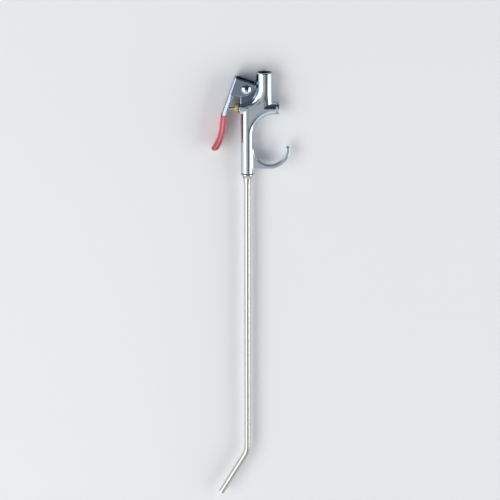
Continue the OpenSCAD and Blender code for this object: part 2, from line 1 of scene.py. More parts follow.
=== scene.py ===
import bpy
import numpy as np
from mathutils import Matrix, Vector


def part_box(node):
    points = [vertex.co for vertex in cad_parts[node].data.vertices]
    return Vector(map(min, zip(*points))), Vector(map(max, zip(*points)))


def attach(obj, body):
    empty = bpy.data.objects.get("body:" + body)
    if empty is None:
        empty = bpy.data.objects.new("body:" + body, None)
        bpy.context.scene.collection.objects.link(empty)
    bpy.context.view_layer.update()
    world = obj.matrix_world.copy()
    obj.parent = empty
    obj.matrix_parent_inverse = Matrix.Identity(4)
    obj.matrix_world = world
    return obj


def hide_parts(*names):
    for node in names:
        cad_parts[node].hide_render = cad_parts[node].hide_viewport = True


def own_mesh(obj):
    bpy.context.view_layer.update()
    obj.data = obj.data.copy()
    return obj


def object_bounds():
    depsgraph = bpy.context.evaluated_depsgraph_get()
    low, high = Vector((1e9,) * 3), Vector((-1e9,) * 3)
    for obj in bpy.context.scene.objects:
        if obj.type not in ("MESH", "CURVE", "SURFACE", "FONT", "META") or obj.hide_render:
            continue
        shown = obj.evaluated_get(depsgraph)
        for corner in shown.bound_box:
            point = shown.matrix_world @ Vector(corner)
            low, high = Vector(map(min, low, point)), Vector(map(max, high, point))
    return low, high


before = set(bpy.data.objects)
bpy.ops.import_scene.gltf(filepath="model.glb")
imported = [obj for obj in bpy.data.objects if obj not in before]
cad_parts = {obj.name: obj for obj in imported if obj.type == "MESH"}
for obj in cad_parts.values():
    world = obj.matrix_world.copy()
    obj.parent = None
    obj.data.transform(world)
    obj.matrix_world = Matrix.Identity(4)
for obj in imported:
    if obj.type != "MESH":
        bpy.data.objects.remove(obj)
cadLow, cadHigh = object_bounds()
print("frame loaded, nodes:", len(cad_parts))

mm = 0.001  # sizes below are in millimetres, and Blender's are metres

# The camera was worked out from the photograph: this focal length, tilt and distance fit it best
camera = {
    "focal": 1400.0,        # pixels, for a frame 500 pixels wide
    "frameWidth": 500.0,
    "sensor": 36.0,
    "tilt": 18.5,           # degrees from straight above
    "aim": (-14.3, -185.8, 0.0),
    "distance": 1445.0,
    "clip": (0.05, 30.0),   # metres
}


def makeCamera():
    # Stands back from its aim along a line that leans by the tilt, and looks down that line
    data = bpy.data.cameras.new("photoCamera")
    data.sensor_width = camera["sensor"]
    data.lens = camera["focal"] * camera["sensor"] / camera["frameWidth"]
    data.clip_start, data.clip_end = camera["clip"]
    obj = bpy.data.objects.new("photoCamera", data)
    bpy.context.scene.collection.objects.link(obj)
    tilt = np.radians(camera["tilt"])
    back = np.array([0.0, np.sin(tilt), np.cos(tilt)])
    obj.location = Vector((np.array(camera["aim"]) + back * camera["distance"]) * mm)
    obj.rotation_euler = (-tilt, 0.0, 0.0)
    bpy.context.scene.camera = obj


makeCamera()

# Finishes, each named for what the real one is


def linear(hexColor):
    # sRGB to linear: a straight foot, then a power of 2.4
    parts = np.array([int(hexColor[i:i + 2], 16) / 255 for i in (1, 3, 5)])
    low, high = parts / 12.92, ((parts + 0.055) / 1.055) ** 2.4
    return (*np.where(parts <= 0.04045, low, high), 1.0)


def addNode(tree, kind, settings=None, links=(), stops=()):
    # settings are node properties or input values, links are (input, node, output),
    # stops are a ramp's (position, colour) pairs
    node = tree.nodes.new(kind)
    for key, value in (settings or {}).items():
        if isinstance(key, int) or key in node.inputs:
            node.inputs[key].default_value = value
        else:
            setattr(node, key, value)
    for socket, source, output in links:
        tree.links.new(source.outputs[output], node.inputs[socket])
    for i, (position, color) in enumerate(stops):
        elements = node.color_ramp.elements
        element = elements[i] if i < 2 else elements.new(position)
        element.position = position
    for (position, color), element in zip(stops, node.color_ramp.elements if stops else ()):
        element.position, element.color = position, linear(color) if isinstance(color, str) else color
    return node


multiply = {"data_type": "RGBA", "blend_type": "MULTIPLY", 0: 1.0}  # settings that mix two colours
lighten = {**multiply, "blend_type": "LIGHTEN"}


def newMaterial(name):
    # A material with no nodes yet, and its tree
    material = bpy.data.materials.new(name)
    material.use_nodes = True
    tree = material.node_tree
    tree.nodes.clear()
    return material, tree


finishes = {
    # swell and cell are the height of the surface's low swells and their size, in millimetres, and
    # mottle is how much the bloom darkens it
    # bright nickel-chrome plate on a polished casting, faintly blue
    "platedZincCasting": {"color": "#c5d1da", "rough": 0.1, "swell": 0.0096, "cell": 3.2, "mottle": 0.04},
    # thinner plate on rolled sheet, a little bluer and duller; its colour is darker than the casting's as
    # painted shade for the lever's dim cheeks
    "platedSteelPressingPaintedShade": {"color": "#95a1b1", "rough": 0.16, "swell": 0.0064, "cell": 1.6, "mottle": 0.14},
    # plate on drawn tube, slightly warm, its swells drawn out along the tube
    "platedDrawnTube": {"color": "#bebeb8", "rough": 0.24, "swell": 0.0032, "cell": 1.6, "mottle": 0.06,
                        "stretch": (1, 0.05, 1)},
    # bare zinc, dulled by the tap
    "tappedZincThread": {"color": "#6d7074", "rough": 0.42, "swell": 0.0016, "cell": 0.5, "mottle": 0.2},
}
bloomLook = {
    "size": 0.35,             # a swell's size as a share of a patch of bloom
    "span": (0.3, 0.7),       # part of the pattern over which it comes and goes
    "roughSpan": (0.8, 1.3),  # what it multiplies the roughness by
}


def platedMaterial(name, color, rough, swell, cell, mottle, stretch=(1, 1, 1)):
    # Plated metal: a mirror broken by low swells left by polishing, and by faint bloom
    material, tree = newMaterial(name)
    low, high = bloomLook["span"]
    smooth, dull = bloomLook["roughSpan"]
    coords = addNode(tree, "ShaderNodeTexCoord")
    place = addNode(tree, "ShaderNodeMapping", {"Scale": stretch}, [("Vector", coords, "Object")])
    swells = addNode(tree, "ShaderNodeTexNoise", {"Scale": 1 / (cell * mm), "Detail": 1.5, "Roughness": 0.4},
                     [("Vector", place, "Vector")])
    bloom = addNode(tree, "ShaderNodeTexNoise", {"Scale": bloomLook["size"] / (cell * mm), "Detail": 4.0},
                    [("Vector", place, "Vector")])
    span = {"From Min": low, "From Max": high}
    roughRange = addNode(tree, "ShaderNodeMapRange",
                         {**span, "To Min": rough * smooth, "To Max": rough * dull}, [("Value", bloom, "Fac")])
    tint = addNode(tree, "ShaderNodeMapRange", {**span, "To Min": 1 - mottle, "To Max": 1.0},
                   [("Value", bloom, "Fac")])
    shade = addNode(tree, "ShaderNodeMix", multiply, [(7, tint, "Result")])
    shade.inputs[6].default_value = linear(color)
    bump = addNode(tree, "ShaderNodeBump", {"Strength": 1.0, "Distance": swell * mm},
                   [("Height", swells, "Fac")])
    surface = addNode(tree, "ShaderNodeBsdfPrincipled", {"Metallic": 1.0},
                      [("Base Color", shade, 2), ("Roughness", roughRange, "Result"),
                       ("Normal", bump, "Normal")])
    addNode(tree, "ShaderNodeOutputMaterial", {}, [("Surface", surface, "BSDF")])
    return material


castChrome, pressedChromePaintedShade, drawnChrome, tappedZinc = (platedMaterial(name, **finish)
                                                      for name, finish in finishes.items())

wavePeriod = 0.314  # length of one band of a wave texture whose scale is 1

brass = {
    "color": [(0.3, "#cdb684"), (0.62, "#e9dbb0")],  # tarnished, then clean
    "rough": 0.3,
    "toolMarks": 0.25, "markDepth": 0.012,  # millimetres from ring to ring, and their depth
    "tarnishSize": 2.5,                     # millimetres
}


def turnedBrass():
    # Turned brass: fine rings round the valve's axis, and a slight tarnish
    material, tree = newMaterial("turnedBrass")
    coords = addNode(tree, "ShaderNodeTexCoord")
    scale = wavePeriod / (brass["toolMarks"] * mm)
    rings = addNode(tree, "ShaderNodeTexWave", {"bands_direction": "X", "Scale": scale, "Distortion": 0.6},
                    [("Vector", coords, "Object")])
    tarnish = addNode(tree, "ShaderNodeTexNoise", {"Scale": 1 / (brass["tarnishSize"] * mm), "Detail": 5.0},
                      [("Vector", coords, "Object")])
    color = addNode(tree, "ShaderNodeValToRGB", {}, [("Fac", tarnish, "Fac")], brass["color"])
    bump = addNode(tree, "ShaderNodeBump", {"Strength": 0.5, "Distance": brass["markDepth"] * mm},
                   [("Height", rings, "Fac")])
    surface = addNode(tree, "ShaderNodeBsdfPrincipled", {"Metallic": 1.0, "Roughness": brass["rough"]},
                      [("Base Color", color, "Color"), ("Normal", bump, "Normal")])
    addNode(tree, "ShaderNodeOutputMaterial", {}, [("Surface", surface, "BSDF")])
    return material


vinylLook = {
    "color": [(0.35, "#b02c41"), (0.6, "#cc3c50")],  # in the deeper patches, and elsewhere
    "rough": 0.26, "ior": 1.53,
    "ripple": 2.2, "rippleDepth": 0.03, "cloud": 9.0,  # millimetres; cloud is the size of the patches
    "soft": 0.08, "softReach": (1.2, 0.3, 0.3),        # light that goes in and comes out again
    "coat": 0.7, "coatRough": 0.1,
}


def dippedVinyl():
    # Dipped vinyl: smooth and glossy, with slow ripples from the dip and slightly uneven depth of colour
    material, tree = newMaterial("dippedVinyl")
    coords = addNode(tree, "ShaderNodeTexCoord")
    ripple = addNode(tree, "ShaderNodeTexNoise", {"Scale": 1 / (vinylLook["ripple"] * mm), "Detail": 1.0},
                     [("Vector", coords, "Object")])
    depth = addNode(tree, "ShaderNodeTexNoise", {"Scale": 1 / (vinylLook["cloud"] * mm), "Detail": 2.0},
                    [("Vector", coords, "Object")])
    color = addNode(tree, "ShaderNodeValToRGB", {}, [("Fac", depth, "Fac")], vinylLook["color"])
    bump = addNode(tree, "ShaderNodeBump", {"Strength": 0.6, "Distance": vinylLook["rippleDepth"] * mm},
                   [("Height", ripple, "Fac")])
    surface = addNode(tree, "ShaderNodeBsdfPrincipled",
                      {"Roughness": vinylLook["rough"], "IOR": vinylLook["ior"],
                       "Subsurface Weight": vinylLook["soft"],
                       "Subsurface Radius": tuple(r * mm for r in vinylLook["softReach"]),
                       "Subsurface Scale": 1.0,
                       "Coat Weight": vinylLook["coat"], "Coat Roughness": vinylLook["coatRough"]},
                      [("Base Color", color, "Color"), ("Normal", bump, "Normal")])
    addNode(tree, "ShaderNodeOutputMaterial", {}, [("Surface", surface, "BSDF")])
    return material


rubberLook = {
    "color": [(0.0, "#131313"), (1.0, "#2a2a2b")], "rough": 0.62, "ior": 1.52,
    "grain": 0.4, "grainDepth": 0.02,  # millimetres
}


def mouldedRubber():
    # Moulded nitrile rubber: black, matt, with a fine grain from its mould
    material, tree = newMaterial("mouldedNitrile")
    coords = addNode(tree, "ShaderNodeTexCoord")
    grain = addNode(tree, "ShaderNodeTexNoise", {"Scale": 1 / (rubberLook["grain"] * mm), "Detail": 3.0},
                    [("Vector", coords, "Object")])
    color = addNode(tree, "ShaderNodeValToRGB", {}, [("Fac", grain, "Fac")], rubberLook["color"])
    bump = addNode(tree, "ShaderNodeBump", {"Strength": 0.5, "Distance": rubberLook["grainDepth"] * mm},
                   [("Height", grain, "Fac")])
    surface = addNode(tree, "ShaderNodeBsdfPrincipled",
                      {"Roughness": rubberLook["rough"], "IOR": rubberLook["ior"]},
                      [("Base Color", color, "Color"), ("Normal", bump, "Normal")])
    addNode(tree, "ShaderNodeOutputMaterial", {}, [("Surface", surface, "BSDF")])
    return material


wireLook = {"color": "#8f9296", "rough": (0.22, 0.42), "streak": 0.6}  # streak: millimetres


def springWire():
    # Drawn spring steel: drawing lines too fine to show, so only a soft streak and a dull shine
    material, tree = newMaterial("drawnSpringSteel")
    coords = addNode(tree, "ShaderNodeTexCoord")
    streak = addNode(tree, "ShaderNodeTexNoise", {"Scale": 1 / (wireLook["streak"] * mm), "Detail": 3.0},
                     [("Vector", coords, "Object")])
    low, high = wireLook["rough"]
    rough = addNode(tree, "ShaderNodeMapRange", {"To Min": low, "To Max": high}, [("Value", streak, "Fac")])
    surface = addNode(tree, "ShaderNodeBsdfPrincipled",
                      {"Metallic": 1.0, "Base Color": linear(wireLook["color"])},
                      [("Roughness", rough, "Result")])
    addNode(tree, "ShaderNodeOutputMaterial", {}, [("Surface", surface, "BSDF")])
    return material


brassMaterial, vinylMaterial = turnedBrass(), dippedVinyl()
rubberMaterial, wireMaterial = mouldedRubber(), springWire()
print("materials made:", len(bpy.data.materials))

# Ways to make a surface, shared by the pieces below


def addMesh(name, points, faces, material, body, normals=None, replaces=()):
    # points in millimetres, faces as arrays with three or four corners a row
    corners = np.concatenate([np.full(len(f), f.shape[1]) for f in faces])
    mesh = bpy.data.meshes.new(name)
    mesh.vertices.add(len(points))
    mesh.vertices.foreach_set("co", (points * mm).astype(np.float32).ravel())
    mesh.loops.add(int(corners.sum()))
    mesh.loops.foreach_set("vertex_index", np.concatenate([f.ravel() for f in faces]).astype(np.int32))
    mesh.polygons.add(len(corners))
    mesh.polygons.foreach_set("loop_start", (np.cumsum(corners) - corners).astype(np.int32))
    mesh.polygons.foreach_set("use_smooth", np.ones(len(corners), bool))
    mesh.update(calc_edges=True)
    mesh.validate()
    if normals is not None:
        mesh.normals_split_custom_set_from_vertices(normals.astype(np.float32).tolist())
    mesh.materials.append(material)
    obj = bpy.data.objects.new(name, mesh)
    bpy.context.scene.collection.objects.link(obj)
    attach(obj, body)
    if replaces:
        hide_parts(*replaces)
    return obj


def roundMax(a, b, r):
    # Where two solids meet in an outer edge: the larger distance, with the edge rounded to radius r
    return np.minimum(np.maximum(a, b), -r) + np.hypot(np.maximum(a + r, 0), np.maximum(b + r, 0))


def roundMin(a, b, r):
    # Where two solids meet in a crook: the smaller distance, with the crook filled to radius r
    return np.maximum(np.minimum(a, b), r) - np.hypot(np.maximum(r - a, 0), np.maximum(r - b, 0))


def easedStep(t, size=1):
    # From 0 to its size, slow at both ends: size times t squared, times three less twice t
    return size * t * t * (3 - 2 * t)


def boxOf(node):
    # A node's box in millimetres
    return [np.array(v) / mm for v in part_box(node)]


skinning = {
    "probe": 0.04,                       # millimetres from a point to the samples of its slope
    "pointsAtOnce": 400000,              # keeps memory low while a whole grid is worked out
    "passes": 6, "slide": 0.5,           # times that a vertex slides, and how far at most, in cells
    "leastSlope": 0.05, "least": 1e-9,   # both keep a division from running away
}


def gradient(field, p):
    # Direction in which the distance grows, from four samples at the corners of a small tetrahedron
    h = skinning["probe"]
    corners = np.array([[1, -1, -1], [-1, -1, 1], [-1, 1, -1], [1, 1, 1]], float)
    total = sum(c * field(p + h * c)[:, None] for c in corners)
    return total / (4 * h)


def alongAxis(axis):
    # Slices that pair each grid point with the next one along an axis
    first, second = [slice(None)] * 3, [slice(None)] * 3
    first[axis], second[axis] = slice(0, -1), slice(1, None)
    return tuple(first), tuple(second)


def skinField(field, low, high, step):
    # Skin of a solid given as a distance at each point: one vertex in each cell that the surface
    # crosses, faces between cells that share a crossed edge, then each vertex slid onto the surface
    c = skinning
    axes = [np.arange(a, b + step, step) for a, b in zip(low, high)]
    shape = tuple(len(a) for a in axes)
    grid = np.stack(np.meshgrid(*axes, indexing="ij"), -1).reshape(-1, 3)
    batches = np.array_split(grid, max(1, len(grid) // c["pointsAtOnce"]))
    values = np.concatenate([field(batch) for batch in batches]).reshape(shape)
    inside = values < 0
    cells = tuple(n - 1 for n in shape)
    total, count = np.zeros(cells + (3,)), np.zeros(cells)
    for axis in range(3):
        first, second = alongAxis(axis)
        a, b = values[first], values[second]
        crossed = inside[first] != inside[second]
        share = np.where(crossed, a / np.where(crossed, a - b, 1), 0)
        across, up = [i for i in range(3) if i != axis]
        for u, v in ((0, 0), (0, 1), (1, 0), (1, 1)):
            pick = [slice(None)] * 3
            pick[across], pick[up] = slice(u, u + cells[across]), slice(v, v + cells[up])
            hit = crossed[tuple(pick)]
            count += hit
            offset = np.zeros(cells + (3,))
            offset[..., axis], offset[..., across], offset[..., up] = share[tuple(pick)], u, v
            total += offset * hit[..., None]
    used = count > 0
    index = np.full(cells, -1)
    index[used] = np.arange(used.sum())
    where = np.argwhere(used)
    points = np.array(low) + (where + total[used] / count[used][:, None]) * step
    faces, unit = [], np.eye(3, dtype=int)
    for axis in range(3):
        u, v = (axis + 1) % 3, (axis + 2) % 3
        first, second = alongAxis(axis)
        a, b = inside[first], inside[second]
        for entering in (True, False):
            found = np.argwhere((a != b) & (a == entering))
            within = (found[:, [u, v]] > 0) & (found[:, [u, v]] < [cells[u], cells[v]])
            found = found[within.all(1)]
            ring = [found - unit[u] - unit[v], found - unit[v], found, found - unit[u]]
            quad = np.stack([index[tuple(r.T)] for r in ring], -1)
            faces.append(quad if entering else quad[:, ::-1])
    faces = np.concatenate(faces)
    for _ in range(c["passes"]):
        slope = gradient(field, points)
        move = -field(points)[:, None] * slope / np.maximum((slope ** 2).sum(1), c["leastSlope"])[:, None]
        length = np.linalg.norm(move, axis=1)[:, None]
        points = points + move * np.minimum(1, c["slide"] * step / np.maximum(length, c["least"]))
    slope = gradient(field, points)
    return points, faces, slope / np.maximum(np.linalg.norm(slope, axis=1)[:, None], c["least"])


def skinPiece(name, field, sizes, material, body, node):
    # Skins a solid within its node's box, widened by a margin
    low, high = boxOf(node)
    points, faces, normals = skinField(field, low - sizes["margin"], high + sizes["margin"], sizes["step"])
    addMesh(name, points, [faces], material, body, normals, [node])
    print(name, "made:", len(faces), "faces")


def rod(p, start, end, r):
    # A cylinder with flat ends: how far a point is out from its side, and how far past its ends
    start, end = np.array(start, float), np.array(end, float)
    along = (end - start) / np.linalg.norm(end - start)
    half = np.linalg.norm(end - start) / 2
    q = p - (start + end) / 2
    t = q @ along
    side = np.linalg.norm(q - t[:, None] * along, axis=1) - r
    return side, np.abs(t) - half


def rodRound(p, start, end, r, edge):
    # Distance to the same cylinder with the edges of its ends rounded
    side, past = rod(p, start, end, r)
    return roundMax(side, past, edge)


def arcTube(p, centre, radius, fromAngle, toAngle):
    # How far in X and in Y a point is from the nearest point of an arc, and the angle of that point
    x, y = p[:, 0] - centre[0], p[:, 1] - centre[1]
    middle, span = (fromAngle + toAngle) / 2, (toAngle - fromAngle) / 2
    angle = (np.degrees(np.arctan2(y, x)) - middle + 180) % 360 - 180
    angle = np.radians(np.clip(angle, -span, span) + middle)
    return x - radius * np.cos(angle), y - radius * np.sin(angle), angle


def plate(p, low, high, half, edge):
    # A flat plate lying in the XY plane, its faces' edges rounded
    mid, size = (np.array(low) + high) / 2, (np.array(high) - low) / 2
    q = np.abs(p[:, :2] - mid) - size
    return roundMax(roundMax(q[:, 0], q[:, 1], edge), np.abs(p[:, 2]) - half, edge)


def squareMinusDisc(p, low, high, centre, radius, half, edge):
    # A web: a flat plate filling a square outside a disc, with rounded faces' edges
    mid, size = (np.array(low) + high) / 2, (np.array(high) - low) / 2
    q = np.abs(p[:, :2] - mid) - size
    box = np.hypot(np.maximum(q[:, 0], 0), np.maximum(q[:, 1], 0)) + np.minimum(q.max(1), 0)
    disc = radius - np.hypot(p[:, 0] - centre[0], p[:, 1] - centre[1])
    return roundMax(np.maximum(box, disc), np.abs(p[:, 2]) - half, edge)


def gridMesh(name, rings, material, body, alongClosed=False, capStart=False, capEnd=False,
             replaces=()):
    # A surface of two parameters: rows of points, each row closed on itself, joined row to row
    n, m = rings.shape[:2]
    points = rings.reshape(-1, 3)
    rows = np.arange(n if alongClosed else n - 1)[:, None]
    cols = np.arange(m)[None, :]
    nextRow, nextCol = (rows + 1) % n, (cols + 1) % m
    corners = [rows * m + cols, rows * m + nextCol, nextRow * m + nextCol, nextRow * m + cols]
    faces = [np.stack(np.broadcast_arrays(*corners), -1).reshape(-1, 4)]
    ring = np.arange(m)
    for wanted, row, turned in ((capStart, 0, True), (capEnd, n - 1, False)):
        if wanted:
            points = np.vstack([points, rings[row].mean(0)])
            middle = np.full(m, len(points) - 1)
            here, after = row * m + ring, row * m + (ring + 1) % m
            faces.append(np.stack([after, here, middle] if turned else [here, after, middle], -1))
    return addMesh(name, points, faces, material, body, replaces=replaces)


def roundAbout(profile, origin, along, across, sides=96):
    # Turns a profile of (radius, distance) rows about an axis: each row becomes a circle
    origin, along, across = (np.array(v, float) for v in (origin, along, across))
    third = np.cross(along, across)
    angle = np.linspace(0, 2 * np.pi, sides, endpoint=False)
    circle = np.cos(angle)[:, None] * across + np.sin(angle)[:, None] * third
    profile = np.array(profile, float)
    return origin + profile[:, 1, None, None] * along + profile[:, 0, None, None] * circle


def corner(centre, radius, fromAngle, toAngle, steps=6):
    # Points round a small arc of a profile
    angle = np.radians(np.linspace(fromAngle, toAngle, steps))
    return [(centre[0] + radius * c, centre[1] + radius * s) for c, s in zip(np.cos(angle), np.sin(angle))]


casting = {
    # inlet: its mouth and rim, and how it flattens: the lower Y, the upper Y, half its height at the lower
    "inletR": 8.5, "mouth": -0.012, "rimRound": 1.2, "inletEnd": -34.5, "inletFall": (-36.0, -10.0, 5.95),
    "boreR": 7.0, "boreDepth": 12.6, "supplyR": 2.75,
    "drillR": 5.9, "drillCone": (0.6, 0.51),  # slope of the drill's point, and what makes that a distance
    # neck, which turns from the inlet to the valve, and the boss and arm that lie along the valve
    "valveY": -36.5, "neckR": (8.2, 6.25), "neckTaper": 2.1, "neckBend": 24.0, "webBend": 21.8,
    "bossR": 6.3, "bossX": -24.8, "flatBelow": 2.2, "flatAbove": 2.4,
    "armR": 6.4, "armStart": 1.0, "armX": 12.3,
    # barrel, the rim that turns from it to the arm, and the webs in the corners
    "barrelX": -17.0, "barrelR": 6.4, "barrelEnd": -103.2, "passageR": 2.5, "socketR": 4.4,
    "socketDepth": 11.5, "rimR": 6.3, "ringTop": 21.2, "webHalf": 6.32,
    # hook: centre, radius of its middle line, half its width and height
    "hookX": 5.6, "hookY": -78.4, "hookMid": 18.2, "hookHalf": (2.0, 3.2), "hookRound": 0.9, "hookRise": 5.0,
    # lug round the rivet, and its foot, which narrows as it comes down to the neck
    "pivot": (-18.2, -16.3), "rivetR": 2.54, "lugR": 5.7, "lugHalf": 5.5, "footHalf": 3.4, "footSlope": 0.085,
    # bores along the valve
    "chamberR": 4.3, "seatX": -10.3, "seatR": 2.5, "plugR": 5.0, "plugDepth": 5.8, "glandR": 4.0,
    "glandDepth": 4.3,
    # radii of the outer edges
    "edge": 0.9, "endEdge": 0.3, "armEdge": 0.12, "barrelEdge": 0.4, "webEdge": 0.3, "flatEdge": 0.5,
    "lugEdge": 0.5, "footEdge": 0.8, "boreEdge": 0.2,
    # radii in the crooks; the inlet's fillet grows from almost none over the length given
    "fillet": 1.6, "filletGrows": (-15.0, 10.0, 0.02), "crook": 0.3, "flush": 0.12, "hookFillet": 0.7,
    "lugFillet": 0.8, "footFillet": 0.4,
    # how far a bore or a boss runs on past a face that it meets
    "lap": 2.0, "seatLap": 1.0, "drillLap": 1.0, "pinReach": 12.0,
    "step": 0.45, "margin": 1.3,
}


def hookBand(p):
    # A rounded rectangle carried round an arc: the distance across the arc, and past its ends, by squares
    c = casting
    dx, dy, angle = arcTube(p, (c["hookX"], c["hookY"]), c["hookMid"], 180, 360 + c["hookRise"])
    radial, tangent = dx * np.cos(angle) + dy * np.sin(angle), dy * np.cos(angle) - dx * np.sin(angle)
    q = np.stack([np.abs(radial) - c["hookHalf"][0], np.abs(p[:, 2]) - c["hookHalf"][1]]) + c["hookRound"]
    hook = np.sqrt(np.maximum(q[0], 0) ** 2 + np.maximum(q[1], 0) ** 2 + tangent ** 2)
    return hook + np.minimum(q.max(0), 0) - c["hookRound"]


def rivetLug(p, bendCentre):
    # A disc round the rivet, joined to a foot: a rectangle between disc and valve, cut by the neck's bend
    c = casting
    x, y, z = p.T
    px, py = c["pivot"]
    ear = np.hypot(x - px, y - py) - c["lugR"]
    ear = roundMax(ear, np.abs(z) - c["lugHalf"], c["lugEdge"])
    q = np.abs(p[:, :2] - (px / 2 - c["lugR"] / 2, (py + c["valveY"]) / 2))
    q = q - ((c["lugR"] - px) / 2, (py - c["valveY"]) / 2)
    foot = np.maximum(q.max(1), np.hypot(x - bendCentre[0], y - bendCentre[1]) - c["neckBend"])
    foot = roundMax(foot, np.abs(z) - c["footHalf"] + c["footSlope"] * (y - py + c["lugR"]), c["footEdge"])
    return roundMin(ear, foot, c["lugFillet"])


def cutBores(p, d):
    # Takes the bores away: the larger of the distance so far and each bore's own, turned inside out
    c = casting
    x, y, z = p.T
    px, py = c["pivot"]
    valve, barrel, lap = c["valveY"], c["barrelX"], c["lap"]
    bores = [  # from, to, radius
        ((0, lap, 0), (0, -c["boreDepth"], 0), c["boreR"]),
        ((0, -c["boreDepth"], 0), (0, valve, 0), c["supplyR"]),
        ((c["bossX"] - lap, valve, 0), (c["bossX"] + c["glandDepth"], valve, 0), c["glandR"]),
        ((c["bossX"], valve, 0), (c["seatX"] + c["seatLap"], valve, 0), c["seatR"]),
        ((c["seatX"], valve, 0), (c["armX"] + lap, valve, 0), c["chamberR"]),
        ((c["armX"] - c["plugDepth"], valve, 0), (c["armX"] + lap, valve, 0), c["plugR"]),
        ((barrel, valve, 0), (barrel, c["barrelEnd"], 0), c["passageR"]),
        ((barrel, c["barrelEnd"] + c["socketDepth"], 0), (barrel, c["barrelEnd"] - lap, 0), c["socketR"]),
        ((px, py, -c["pinReach"]), (px, py, c["pinReach"]), c["rivetR"]),
    ]
    for start, end, r in bores:
        side, past = rod(p, start, end, r)
        d = roundMax(d, -np.maximum(side, past), c["boreEdge"])
    slope, scale = c["drillCone"]
    drill = (np.hypot(x, z) - c["drillR"] - (y + c["boreDepth"]) / slope) * scale
    return roundMax(d, -np.maximum(drill, y + c["boreDepth"] - c["drillLap"]), c["boreEdge"])


def castingField(p):
    # Distance to the casting: tubes for inlet, neck, valve, barrel and rim, plates between them,
    # a flat band for the hook, and every bore taken away
    c = casting
    x, y, z = p.T
    valve = c["valveY"]
    fallEnd, fallStart, fallTo = c["inletFall"]
    share = np.clip((y - fallEnd) / (fallStart - fallEnd), 0, 1)
    height = fallTo + easedStep(share, c["inletR"] - fallTo)
    inlet = np.hypot(x, z * c["inletR"] / height) - c["inletR"]
    inlet = roundMax(roundMax(inlet, y - c["mouth"], c["rimRound"]), c["inletEnd"] - y, c["endEdge"])
    bendCentre = (-c["neckBend"], valve + c["neckBend"])
    dx, dy, angle = arcTube(p, bendCentre, c["neckBend"], -90, 0)
    turned = (angle / (np.pi / 2) + 1) ** c["neckTaper"]
    neck = np.sqrt(dx ** 2 + dy ** 2 + z ** 2) - c["neckR"][1] - (c["neckR"][0] - c["neckR"][1]) * turned
    neck = roundMax(neck, c["bossX"] - x, c["endEdge"])  # its round end stays behind the boss's face
    boss = rodRound(p, (c["bossX"], valve, 0), (c["armStart"] + c["lap"], valve, 0), c["bossR"], c["endEdge"])
    arm, _ = rod(p, (c["armStart"], valve, 0), (c["armX"], valve, 0), c["armR"])
    arm = roundMax(roundMax(arm, c["armStart"] - x, c["armEdge"]), x - c["armX"], c["edge"])
    barrel = np.sqrt((x - c["barrelX"]) ** 2 + z ** 2 + np.maximum(y - valve, 0) ** 2) - c["barrelR"]
    barrel = roundMax(barrel, c["barrelEnd"] - y, c["barrelEdge"])
    rimMid = c["ringTop"] + c["rimR"]
    rimCentre = (c["barrelX"] + rimMid, valve - rimMid)
    dx, dy, _ = arcTube(p, rimCentre, rimMid, 90, 180)
    rim = np.sqrt(dx ** 2 + dy ** 2 + z ** 2) - c["rimR"]
    rim = roundMax(rim, x - c["armX"], c["edge"])  # and so does this one, behind the arm's face
    hookCentre, hookOut = (c["hookX"], c["hookY"]), c["hookMid"] + c["hookHalf"][0]
    neckWeb = squareMinusDisc(p, (-c["neckBend"], valve), (0, bendCentre[1]), bendCentre, c["webBend"],
                              c["webHalf"], c["webEdge"])
    rimWeb = squareMinusDisc(p, (c["barrelX"], rimCentre[1]), (rimCentre[0], valve), rimCentre, rimMid,
                             c["webHalf"], c["webEdge"])
    hookWeb = squareMinusDisc(p, (c["barrelX"], c["hookY"] - hookOut), hookCentre, hookCentre, c["hookMid"],
                              c["hookHalf"][1], c["hookRound"])
    flat = plate(p, (c["bossX"], valve - c["flatBelow"]), (-c["neckBend"] / 2, valve + c["flatAbove"]),
                 c["webHalf"], c["flatEdge"])
    # crooks are filled where walls meet at an angle, and hardly at all where they run flush
    fadeFrom, fadeOver, least = c["filletGrows"]
    d = roundMin(inlet, neck, c["fillet"] * np.clip((fadeFrom - y) / fadeOver, least, 1))
    d = roundMin(d, roundMin(boss, arm, c["flush"]), c["crook"])
    d = roundMin(d, roundMin(rim, barrel, c["flush"]), c["crook"])
    for web in (neckWeb, rimWeb, flat):
        d = roundMin(d, web, c["flush"])
    d = roundMin(d, np.minimum(hookBand(p), hookWeb), c["hookFillet"])
    d = roundMin(d, rivetLug(p, bendCentre), c["footFillet"])
    return cutBores(p, d)


thread = {
    "pitch": 1.411, "depth": 0.85, "crest": 5.9, "outer": 7.04, "length": 12.55,
    "steep": 1.3, "root": 0.15,  # how steep a ridge's sides are, and how flat its root is
    "lead": 0.8, "leadRun": 0.6, "leadSlope": 0.9, "leadDrop": 0.35,  # countersink at the mouth
    "fade": 10.6,                # the thread fades out from this depth
    "wall": 0.05, "outerRows": (8.0, 4.0, 0.3),  # least thickness, and depths of the rows outside
    "lip": [(7.26, 0.05), (7.2, 0.0)],           # radius and depth of the rows at the mouth
    "rows": 0.1, "sides": 96,
}


